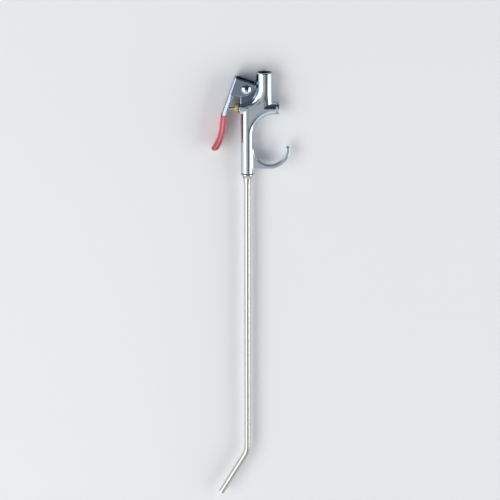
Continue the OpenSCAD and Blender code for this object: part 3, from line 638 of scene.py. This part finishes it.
def makeThread():
    # Pipe thread as a liner: inner radius rises and falls with height and turn, so it makes a helix
    t = thread
    y = -np.arange(0, t["length"] + t["rows"] / 2, t["rows"])[:, None]
    angle = np.linspace(0, 2 * np.pi, t["sides"], endpoint=False)
    phase = (y / t["pitch"] + angle[None, :] / (2 * np.pi)) % 1
    ridge = np.clip(t["steep"] * (1 - np.abs(2 * phase - 1)) - t["root"], 0, 1)
    fade = np.clip((y + t["length"]) / (t["length"] - t["fade"]), 0, 1)
    lead = t["crest"] + t["depth"] + (y + t["lead"]) * t["leadSlope"] - t["leadDrop"]
    inner = t["crest"] + t["depth"] * ridge * fade
    inner = np.maximum(inner, np.where(y > -t["lead"] - t["leadRun"], lead, 0))
    inner = np.minimum(inner, t["outer"] - t["wall"])
    outside = np.array([(t["outer"], depth) for depth in (t["length"], *t["outerRows"])] + t["lip"])
    radius = np.vstack([inner, np.repeat(outside[:, :1], len(angle), 1)])
    height = np.repeat(np.concatenate([y[:, 0], -outside[:, 1]])[:, None], len(angle), 1)
    rings = np.stack([radius * np.cos(angle), height, radius * np.sin(angle)], -1)
    gridMesh("inletThread", rings[::-1], tappedZinc, "gun", alongClosed=True)


skinPiece("castingSkin", castingField, casting, castChrome, "gun", "body_casting")
makeThread()
print("thread made")

lever = {
    "pivot": (-18.2, -16.3), "back": 14.6, "top": 7.9, "lean": 19.5,  # where the back starts, and its lean
    # its back: straight, bend (bare, then under the sleeve), straight, flare the other way, straight
    "run": 36.0, "bendR": 38.0, "bareTurn": 7.0, "gripTurn": 6.2, "midRun": 9.6, "flareR": 44.0,
    "flareTurn": 27.5, "tailRun": 1.0,
    # its section: a channel with folds and facets, whose sides draw in below the cheeks
    "sheet": 1.2, "half": 7.0, "depth": 4.7, "fold": 0.9, "foldMore": 2.6, "foldOver": 3.0, "facet": 2.3,
    "facetTurn": 25.0, "facetEdge": 0.6, "draft": 0.19, "draftOver": 8.0,
    # its outline: cheeks, nose and end
    "cheekReach": 23.0, "cheekLength": 17.4, "power": 2.3, "cheekCrook": 0.8, "nose": 2.4, "endRound": 5.0,
    "pressed": 0.5, "edgeRoll": 0.55, "pinR": 2.55, "pinEdge": 0.2,
    "step": 0.4, "margin": 1.1,
}
leverTurn = lever["bareTurn"] + lever["gripTurn"]
gripStart = lever["run"] + lever["bendR"] * np.radians(lever["bareTurn"])
bendEnd = lever["run"] + lever["bendR"] * np.radians(leverTurn)
midEnd = bendEnd + lever["midRun"]
flareEnd = midEnd + lever["flareR"] * np.radians(lever["flareTurn"])
leverEnd = flareEnd + lever["tailRun"]


def headings(a):
    # Forward along the lever's back and inward from it, where the back has turned by an angle
    return np.array([np.sin(a), -np.cos(a)]), np.array([np.cos(a), np.sin(a)])


def alongLever(p):
    # How far down the lever's back a point lies, and how deep behind it: on a straight, the two
    # coordinates along its headings; on a bend, radius times angle turned, and radius less distance
    c = lever
    lean = np.radians(c["lean"])
    x, y = p[:, 0] - c["pivot"][0], p[:, 1] - c["pivot"][1]
    x, y = x * np.cos(lean) - y * np.sin(lean) + c["back"], x * np.sin(lean) + y * np.cos(lean) - c["top"]
    turn = np.radians(leverTurn)
    forward, inward = headings(turn)
    bendHub = np.array([c["bendR"], -c["run"]])
    bendOut = bendHub - c["bendR"] * inward
    midOut = bendOut + c["midRun"] * forward
    flareHub = midOut - c["flareR"] * inward
    tailForward, tailInward = headings(np.radians(leverTurn - c["flareTurn"]))
    flareOut = flareHub + c["flareR"] * tailInward

    def measure(start, *ways):
        # How far a point is from a start, along each of two headings
        return [(x - start[0]) * way[0] + (y - start[1]) * way[1] for way in ways]

    s, w = -y, x
    a, rho = np.arctan2(-(y - bendHub[1]), -(x - bendHub[0])), np.hypot(x - bendHub[0], y - bendHub[1])
    after = y < -c["run"]
    s, w = np.where(after, c["run"] + c["bendR"] * a, s), np.where(after, c["bendR"] - rho, w)
    ahead, deep = measure(bendOut, forward, inward)
    after = after & (ahead > 0)
    s, w = np.where(after, bendEnd + ahead, s), np.where(after, deep, w)
    a, rho = np.arctan2(y - flareHub[1], x - flareHub[0]), np.hypot(x - flareHub[0], y - flareHub[1])
    after = after & (ahead > c["midRun"])
    s, w = np.where(after, midEnd + c["flareR"] * (turn - a), s), np.where(after, rho - c["flareR"], w)
    ahead, deep = measure(flareOut, tailForward, tailInward)
    after = after & (ahead > 0)
    return np.where(after, flareEnd + ahead, s), np.where(after, deep, w)


def pressing(s, w, z, end):
    # Bent sheet: a skin of one thickness round a rounded channel, cut off along the outline of its sides.
    # A facet runs down each side of the back, and below the cheeks the sides draw in towards it.
    # Under the sleeve the facet gives way to a wider fold.
    c = lever
    below = np.clip((s - c["cheekLength"]) / c["draftOver"], 0, 1)
    side = np.abs(z) - c["half"] + c["draft"] * below * np.clip(c["depth"] - w, 0, c["depth"])
    turn, under = np.radians(c["facetTurn"]), np.clip((s - gripStart) / c["foldOver"], 0, 1)
    facet = side * np.cos(turn) + (c["facet"] * (1 - under) - w) * np.sin(turn)
    outer = roundMax(roundMax(side, facet, c["facetEdge"]), -w, c["fold"] + c["foldMore"] * under)
    sheet = np.abs(outer + c["sheet"] / 2) - c["sheet"] / 2
    u, v = np.maximum(s, 0) / c["cheekLength"], np.maximum(w - c["depth"], 0) / (c["cheekReach"] - c["depth"])
    cheek = ((u ** c["power"] + v ** c["power"]) ** (1 / c["power"]) - 1) * c["cheekLength"]
    outline = roundMin(cheek, w - c["depth"], c["cheekCrook"])
    outline = roundMax(outline, -s, c["nose"])
    outline = roundMax(outline, s - end, c["endRound"])
    return roundMax(sheet, outline * (c["edgeRoll"] + (1 - c["edgeRoll"]) * below), c["pressed"])


def leverField(p):
    # The pressing less the rivet's hole through both cheeks
    s, w = alongLever(p)
    hole = lever["pinR"] - np.hypot(p[:, 0] - lever["pivot"][0], p[:, 1] - lever["pivot"][1])
    return roundMax(pressing(s, w, p[:, 2], leverEnd), hole, lever["pinEdge"])


sleeve = {"coat": 0.75, "end": 1.8, "lip": 0.3, "clear": 0.02, "step": 0.3, "margin": 1.0}


def sleeveField(p):
    # The coat: everything within its thickness of the sheet, below a rolled lip, less the sheet
    s, w = alongLever(p)
    c = sleeve
    coat = pressing(s, w, p[:, 2], leverEnd + c["end"] - c["coat"]) - c["coat"]
    coat = roundMax(coat, gripStart - s, c["lip"])
    return np.maximum(coat, c["clear"] - pressing(s, w, p[:, 2], leverEnd))


# the pressing's darker chrome is painted shade for the lever's dim cheeks
skinPiece("leverPressing", leverField, lever, pressedChromePaintedShade, "trigger", "lever")
skinPiece("vinylSleeve", sleeveField, sleeve, vinylMaterial, "trigger", "lever_grip")

rivet = {
    "at": (-18.2, -16.3), "shankR": 2.5, "face": 7.1,  # face: how far out the domes' feet stand
    "head": (4.7, 2.19), "tail": (4.0, 1.69),          # radius and height of each dome
    "cap": 0.94, "capSteps": 22, "footSteps": 5,       # cap: how much of a dome is ball above its foot
}


def domeProfile(r, h):
    # Cap of a ball that reaches height h over radius r, then a short rounded foot down to the sheet
    ball = (r * r + h * h) / (2 * h)
    a = np.linspace(0, np.arcsin(r / ball) * rivet["cap"], rivet["capSteps"])
    cap = np.stack([ball * np.sin(a), ball * np.cos(a) - ball + h], -1)
    t = np.linspace(0, 1, rivet["footSteps"])[1:]
    foot = np.stack([cap[-1, 0] + (r - cap[-1, 0]) * np.sin(t * np.pi / 2), cap[-1, 1] * (1 - t)], -1)
    return np.vstack([cap, foot])


def makeRivet():
    # Head, shank and tail as one profile turned about Z
    c = rivet
    head, tail = domeProfile(*c["head"]), domeProfile(*c["tail"])
    head[:, 1] += c["face"]
    tail[:, 1] = -c["face"] - tail[:, 1]
    shank = [(c["shankR"], c["face"]), (c["shankR"], 0), (c["shankR"], -c["face"])]
    rings = roundAbout(np.vstack([head[1:], shank, tail[:0:-1]]), (*c["at"], 0), (0, 0, 1), (1, 0, 0))[::-1]
    gridMesh("rivetDome", rings, castChrome, "gun", capStart=True, capEnd=True,
             replaces=["pivot_rivet"])


nut = {
    "flats": 9.0, "hex": 3.7, "face": 4.55, "shankR": 3.96, "rodR": 1.3, "ringR": 2.49, "pocket": 1.3,
    "hexEdge": 0.12, "coneEdge": 0.1, "shankEdge": 0.2, "holeEdge": 0.15, "pocketEdge": 0.1,
    "lap": 1.0, "step": 0.17, "margin": 0.5,
}
nutLow, nutHigh = boxOf("gland_nut")


def nutField(p):
    # Hexagon from three pairs of flats, chamfered by a cone at each end, on a round shank,
    # bored for the rod and with a pocket for its ring
    c = nut
    x0, x1, valve = nutLow[0], nutHigh[0], casting["valveY"]
    sin60, cos60, sin45 = 0.866, 0.5, 0.707
    x, y, z = p[:, 0], p[:, 1] - valve, p[:, 2]
    pairs = [np.abs(z), np.abs(sin60 * y + cos60 * z), np.abs(sin60 * y - cos60 * z)]
    flats = np.max(pairs, 0) - c["flats"] / 2
    hexPart = roundMax(flats, np.abs(x - x0 - c["hex"] / 2) - c["hex"] / 2, c["hexEdge"])
    rho = np.hypot(y, z)
    for cone in (rho - c["face"] - (x - x0), rho - c["face"] - (x0 + c["hex"] - x)):
        hexPart = roundMax(hexPart, cone * sin45, c["coneEdge"])
    shank = rodRound(p, (x0 + c["lap"], valve, 0), (x1, valve, 0), c["shankR"], c["shankEdge"])
    hole, _ = rod(p, (x0 - c["lap"], valve, 0), (x1 + c["lap"], valve, 0), c["rodR"])
    pocket = np.maximum(rho - c["ringR"], x1 - c["pocket"] - x)
    return roundMax(roundMax(np.minimum(hexPart, shank), -hole, c["holeEdge"]), -pocket, c["pocketEdge"])


pushRod = {"nose": 0.6, "edge": 0.2, "pole": 0.01, "sides": 48}  # pole: radius left open for the end's cap


def makeRod():
    # Rod with a rounded nose, turned about the valve's axis
    c = pushRod
    low, high = boxOf("push_rod")
    r, length = (high[1] - low[1]) / 2, high[0] - low[0]
    profile = [(c["pole"], 0.0), *corner((r - c["nose"], c["nose"]), c["nose"], -90, 0), (r, length / 2),
               *corner((r - c["edge"], length - c["edge"]), c["edge"], 0, 90), (c["pole"], length)]
    rings = roundAbout(profile, (low[0], casting["valveY"], 0), (1, 0, 0), (0, 1, 0), c["sides"])
    gridMesh("pushRod", rings, brassMaterial, "valve", capStart=True, capEnd=True,
             replaces=["push_rod"])


plug = {
    "headR": 6.4, "head": 2.2, "shankR": 4.96, "slot": 1.4, "deep": 1.1, "pocketR": 2.55, "pocket": 3.2,
    "headEdge": 0.6, "shankEdge": 0.3, "slotEdge": 0.2, "lap": 0.5, "step": 0.25, "margin": 0.7,
}
plugLow, plugHigh = boxOf("end_plug")


def plugField(p):
    # Round head with a rolled edge on a round shank, less the driver's slot and the spring's pocket
    c = plug
    x0, x1, valve = plugLow[0], plugHigh[0], casting["valveY"]
    head = rodRound(p, (x1 - c["head"], valve, 0), (x1, valve, 0), c["headR"], c["headEdge"])
    shank = rodRound(p, (x0, valve, 0), (x1 - c["lap"], valve, 0), c["shankR"], c["shankEdge"])
    slot = np.maximum(np.abs(p[:, 2]) - c["slot"] / 2, x1 - c["deep"] - p[:, 0])
    pocket = np.maximum(np.hypot(p[:, 1] - valve, p[:, 2]) - c["pocketR"], p[:, 0] - x0 - c["pocket"])
    return roundMax(roundMax(np.minimum(head, shank), -slot, c["slotEdge"]), -pocket, c["slotEdge"])


makeRivet()
skinPiece("glandNut", nutField, nut, brassMaterial, "gun", "gland_nut")
makeRod()
skinPiece("endPlug", plugField, plug, castChrome, "gun", "end_plug")
print("rivet and rod made")

spring = {
    "wireR": 0.3, "meanR": 2.2, "turns": 8, "flat": 0.12,
    "creep": 0.03,   # share of the rise that also goes on in the flat end turns
    "stroke": 3.65,  # how far the valve presses it
    "perTurn": 48, "sides": 14,
}


def makeSpring():
    # Wire carried round a helix whose end turns lie flat
    low, high = boxOf("valve_spring")
    c = spring
    t = np.linspace(0, 1, c["perTurn"] * c["turns"] + 1)
    rise = easedStep(np.clip((t - c["flat"]) / (1 - 2 * c["flat"]), 0, 1))
    rise = c["creep"] * t + (1 - c["creep"]) * rise
    turn = 2 * np.pi * c["turns"] * t
    path = np.stack([low[0] + c["wireR"] + (high[0] - low[0] - 2 * c["wireR"]) * rise,
                     casting["valveY"] + c["meanR"] * np.cos(turn), c["meanR"] * np.sin(turn)], -1)
    out = np.stack([0 * turn, np.cos(turn), np.sin(turn)], -1)
    angle = np.linspace(0, 2 * np.pi, c["sides"], endpoint=False)[None, :, None]
    tangent = np.gradient(path, axis=0)
    tangent /= np.linalg.norm(tangent, axis=1)[:, None]
    side = np.cross(tangent, out)
    rings = path[:, None] + c["wireR"] * (np.cos(angle) * out[:, None] + np.sin(angle) * side[:, None])
    obj = gridMesh("valveSpring", rings, wireMaterial, "gun", capStart=True, capEnd=True,
                   replaces=["valve_spring"])
    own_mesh(obj)


makeSpring()
print("spring made")

nozzle = {
    "collarR": 6.45, "edge": 0.25, "land": 1.1, "landTurn": 40, "chamfer": (1.4, 1.7),
    "crease": [(0.2, 0.22), (0.04, 0.02)],  # out and back from the corner of chamfer and cone
    "coneEnd": 3.95, "taper": 2.2, "coneSteps": 14, "coneEdge": 0.25,
    "threadR": 4.36, "threadEdge": 0.3,
    "tubeR": 3.175, "boreR": 2.175,
    "fit": 0.04, "mouthFit": 0.06, "mouth": 0.4,  # gap round the tube, wider at the mouth
    "socket": 0.5, "stop": 0.6,  # how far in the tube goes as a share, and the step that it stops at
}


def makeFitting():
    # Threaded tail, collar, chamfer and cone as one profile turned about the barrel, then back up inside
    c = nozzle
    low, high = boxOf("nozzle_fitting")
    top, length = high[1], high[1] - low[1]
    shoulder = top - boxOf("nozzle_ring")[0][1]  # distances run down from the top
    e, tail = c["edge"], c["threadEdge"]
    profile = [*corner((c["threadR"] - tail, tail), tail, -90, 0, 4), (c["threadR"], shoulder),
               *corner((c["collarR"] - e, shoulder + e), e, -90, 0, 6),
               *corner((c["collarR"] - e, shoulder + c["land"]), e, 0, c["landTurn"], 4)]
    # a narrow land and a chamfer, then a cone that falls away fast and ends almost straight
    inR, inY = c["chamfer"]
    coneR, coneTop = c["collarR"] - inR, shoulder + c["land"] + inY
    coneDrop, coneRun = coneR - c["coneEnd"], length - c["coneEdge"] - coneTop
    profile += [(coneR + out, coneTop - back) for out, back in c["crease"]]
    profile += [(c["coneEnd"] + coneDrop * (1 - t) ** c["taper"], coneTop + coneRun * t)
                for t in np.linspace(0, 1, c["coneSteps"])[1:]]
    socket = length * c["socket"]
    profile += [(c["coneEnd"] - c["coneEdge"], length), (c["tubeR"] + c["mouthFit"], length),
                (c["tubeR"] + c["fit"], length - c["mouth"]), (c["tubeR"] + c["fit"], socket),
                (c["boreR"], socket - c["stop"]), (c["boreR"], tail), (c["boreR"] + tail, 0)]
    rings = roundAbout(profile, (casting["barrelX"], top, 0), (0, -1, 0), (1, 0, 0))
    gridMesh("nozzleFitting", rings, drawnChrome, "gun", alongClosed=True,
             replaces=["nozzle_fitting"])


tube = {
    "cornerY": -415.6, "spout": 57.0, "turn": 30.0, "bendR": 24.0,
    "lip": 0.35, "topEdge": (0.15, 0.3), "topNext": 0.6,  # rounded open end, and the chamfers of the other
    "rows": (40, 25, 14), "lipSteps": 6, "sides": 72,     # rows: on the straight, the bend and the spout
}


def makeTube():
    # Round wall carried down a straight, round the bend and out along the spout, then back inside as
    # the bore: each ring has a place on the middle line, a radius, and a shift along the line
    c = tube
    cut = c["bendR"] * np.tan(np.radians(c["turn"] / 2))
    x, top, bendTop = casting["barrelX"], boxOf("nozzle_tube")[1][1], c["cornerY"] + cut
    straightRows, bendRows, spoutRows = c["rows"]
    straight = np.linspace(top, bendTop, straightRows)[:-1]
    bend = np.radians(np.linspace(0, c["turn"], bendRows))
    run = np.linspace(0, c["spout"] - cut, spoutRows)[1:]
    ahead = np.array([-np.sin(bend[-1]), -np.cos(bend[-1])])
    centre = np.vstack([
        np.stack([np.full(len(straight), x), straight], -1),
        np.stack([x - c["bendR"] * (1 - np.cos(bend)), bendTop - c["bendR"] * np.sin(bend)], -1)])
    centre = np.vstack([centre, centre[-1] + run[:, None] * ahead])
    heading = np.vstack([np.tile([0, -1.0], (len(straight), 1)), np.stack([-np.sin(bend), -np.cos(bend)], -1),
                         np.tile(ahead, (len(run), 1))])
    outerR, innerR, lip, (edgeIn, edgeDown) = nozzle["tubeR"], nozzle["boreR"], c["lip"], c["topEdge"]
    arc = np.radians(np.linspace(0, 90, c["lipSteps"]))
    count, lipRows = len(centre), 2 * c["lipSteps"]
    order = np.concatenate([np.arange(count), np.full(lipRows, count - 1), np.arange(count)[::-1],
                            np.zeros(4, int)])
    lipR = np.concatenate([outerR - lip + lip * np.cos(arc), innerR + lip - lip * np.cos(arc[::-1])])
    lipS = np.concatenate([lip * np.sin(arc), lip * np.sin(arc[::-1])]) - lip
    radius = np.concatenate([np.full(count, outerR), lipR, np.full(count, innerR),
                             [innerR, innerR + edgeIn, outerR - edgeIn, outerR]])
    shift = np.concatenate([np.zeros(count), lipS, np.zeros(count), [edgeDown, 0, 0, edgeDown]])
    shift[count - 1] = shift[count + lipRows] = -2 * lip  # room for the lip's arcs, outside and inside
    shift[0] = shift[-5] = c["topNext"]
    angle = np.linspace(0, 2 * np.pi, c["sides"], endpoint=False)
    h = heading[order]
    across = np.stack([-h[:, 1], h[:, 0]], -1)  # sideways in the XY plane
    middle = centre[order] + shift[:, None] * h
    flat = middle[:, None] + radius[:, None, None] * np.cos(angle)[None, :, None] * across[:, None]
    deep = radius[:, None] * np.sin(angle)[None, :]
    rings = np.concatenate([flat, deep[..., None]], -1)
    gridMesh("nozzleTube", rings, drawnChrome, "gun", alongClosed=True,
             replaces=["nozzle_tube"])


makeFitting()
makeTube()
print("nozzle made")

# The sealed pieces keep their solids, since nothing shows of them from outside
sealed = {"gland_washer": rubberMaterial, "rod_ring": rubberMaterial, "packing_washer": brassMaterial,
          "valve_head": brassMaterial, "valve_seal": rubberMaterial, "plug_gasket": rubberMaterial,
          "nozzle_ring": rubberMaterial}
for node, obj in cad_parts.items():
    obj.data.materials.clear()
    obj.data.materials.append(sealed.get(node, castChrome))

stage = {
    "floorDrop": 0.4, "size": 40.0,     # millimetres below the tool, and metres across
    "floorColor": "#f4f5f6", "rough": 0.9, "gleam": 0.2,
    "grain": 6.0, "grainShade": 0.985,  # patches to a metre, and how dark they get
}


def makeFloor():
    # A wide square just under the tool
    material, tree = newMaterial("paleFloor")
    coords = addNode(tree, "ShaderNodeTexCoord")
    grain = addNode(tree, "ShaderNodeTexNoise", {"Scale": stage["grain"], "Detail": 2.0},
                    [("Vector", coords, "Object")])
    shade = addNode(tree, "ShaderNodeMapRange", {"To Min": stage["grainShade"], "To Max": 1.0},
                    [("Value", grain, "Fac")])
    tint = addNode(tree, "ShaderNodeMix", multiply, [(7, shade, "Result")])
    tint.inputs[6].default_value = linear(stage["floorColor"])
    surface = addNode(tree, "ShaderNodeBsdfPrincipled",
                      {"Roughness": stage["rough"], "Specular IOR Level": stage["gleam"]},
                      [("Base Color", tint, 2)])
    addNode(tree, "ShaderNodeOutputMaterial", {}, [("Surface", surface, "BSDF")])
    size, z = stage["size"] / mm / 2, cadLow[2] / mm - stage["floorDrop"]
    points = np.array([(-size, -size, z), (size, -size, z), (size, size, z), (-size, size, z)])
    mesh = bpy.data.meshes.new("floor")
    mesh.from_pydata((points * mm).tolist(), [], [(0, 1, 2, 3)])
    mesh.materials.append(material)
    obj = bpy.data.objects.new("floor", mesh)
    bpy.context.scene.collection.objects.link(obj)


# Angle from straight up towards +X and lean towards +Y in degrees, sizes in metres, power in watts
lights = {
    "leftBox": {"angle": -45.5, "lean": -9.0, "distance": 2.4, "size": (1.5, 3.4), "power": 38.0},
    "rightBox": {"angle": 67.0, "lean": -4.0, "distance": 2.4, "size": (1.5, 2.8), "power": 31.0},
}
lightsAim = (-0.01, -0.12, 0.0)  # metres

room = {
    # brightness by angle, then how much is left and how much is added as the direction leans along the tool
    "across": [(-180, 0.30), (-110, 0.5), (-88, 0.9), (-28, 0.95), (-14, 0.72), (0, 0.6), (8, 0.48),
               (20, 0.16), (36, 0.15), (48, 0.85), (88, 0.95), (110, 0.6), (180, 0.30)],
    "dim": [(-1, 1.0), (-0.2, 1.0), (-0.08, 0.3), (0.05, 0.1), (0.6, 0.1), (0.9, 0.15), (1, 0.3)],
    "pale": [(-1, 1.0), (-0.8, 1.0), (-0.68, 0.85), (-0.57, 0.15), (-0.5, 0.0), (1, 0.0)],
    "dusk": (0.75, 0.9, 1.35),  # tint of its darker parts
    # a bright wall off to the left, by angle and by how high it reaches
    "wall": [(-180, 0.2), (-150, 0.6), (-125, 1.0), (-62, 1.0), (-48, 0.0), (180, 0.0)],
    "wallReach": [(-1, 0.0), (-0.25, 1.0), (0.3, 1.0), (0.4, 0.0), (1, 0.0)],
}


def roomStops(name, tint=(1, 1, 1)):
    # A curve of the room's brightness as a ramp's stops, its span taken as 0 to 1. The tint shows where
    # it is dark: brightness times the tint to the power of one less the brightness.
    curve = room[name]
    first, last = curve[0][0], curve[-1][0]
    return [((at - first) / (last - first), (*(min(value * t ** (1 - value), 1) for t in tint), 1))
            for at, value in curve]


def makeRoom():
    # Light from all round, by direction: the angle from straight up towards +X is the place on a curve
    # across the tool, and Y is the place on the curves along it
    world = bpy.data.worlds.new("studio")
    bpy.context.scene.world = world
    world.use_nodes = True
    tree = world.node_tree
    tree.nodes.clear()
    coords = addNode(tree, "ShaderNodeTexCoord")
    split = addNode(tree, "ShaderNodeSeparateXYZ", {}, [("Vector", coords, "Generated")])
    angle = addNode(tree, "ShaderNodeMath", {"operation": "ARCTAN2"}, [(0, split, "X"), (1, split, "Z")])
    place = addNode(tree, "ShaderNodeMapRange", {"From Min": -np.pi, "From Max": np.pi},
                    [("Value", angle, "Value")])
    lean = addNode(tree, "ShaderNodeMapRange", {"From Min": -1.0, "From Max": 1.0}, [("Value", split, "Y")])
    across, wall = (addNode(tree, "ShaderNodeValToRGB", {}, [("Fac", place, "Result")], roomStops(name))
                    for name in ("across", "wall"))
    pale, reach = (addNode(tree, "ShaderNodeValToRGB", {}, [("Fac", lean, "Result")], roomStops(name))
                   for name in ("pale", "wallReach"))
    dim = addNode(tree, "ShaderNodeValToRGB", {}, [("Fac", lean, "Result")], roomStops("dim", room["dusk"]))
    dimmed = addNode(tree, "ShaderNodeMix", multiply, [(6, across, "Color"), (7, dim, "Color")])
    side = addNode(tree, "ShaderNodeMix", multiply, [(6, wall, "Color"), (7, reach, "Color")])
    lit = addNode(tree, "ShaderNodeMix", lighten, [(6, dimmed, 2), (7, pale, "Color")])
    total = addNode(tree, "ShaderNodeMix", lighten, [(6, lit, 2), (7, side, 2)])
    back = addNode(tree, "ShaderNodeBackground", {"Strength": 1.0}, [("Color", total, 2)])
    addNode(tree, "ShaderNodeOutputWorld", {}, [("Surface", back, "Background")])


def makeLights():
    # Each lamp stands off from the aim along its own direction, and faces back down it
    for name, c in lights.items():
        a, lean = np.radians(c["angle"]), np.radians(c["lean"])
        direction = np.array([np.sin(a) * np.cos(lean), np.sin(lean), np.cos(a) * np.cos(lean)])
        data = bpy.data.lights.new(name, "AREA")
        data.shape, data.size_y, data.size, data.energy = "RECTANGLE", c["size"][0], c["size"][1], c["power"]
        obj = bpy.data.objects.new(name, data)
        obj.location = np.array(lightsAim) + direction * c["distance"]
        obj.rotation_euler = Vector(direction).to_track_quat("Z", "Y").to_euler()
        bpy.context.scene.collection.objects.link(obj)


makeFloor()
makeLights()
makeRoom()
bpy.context.scene.view_settings.view_transform = "Standard"
print("floor, lights and room made")
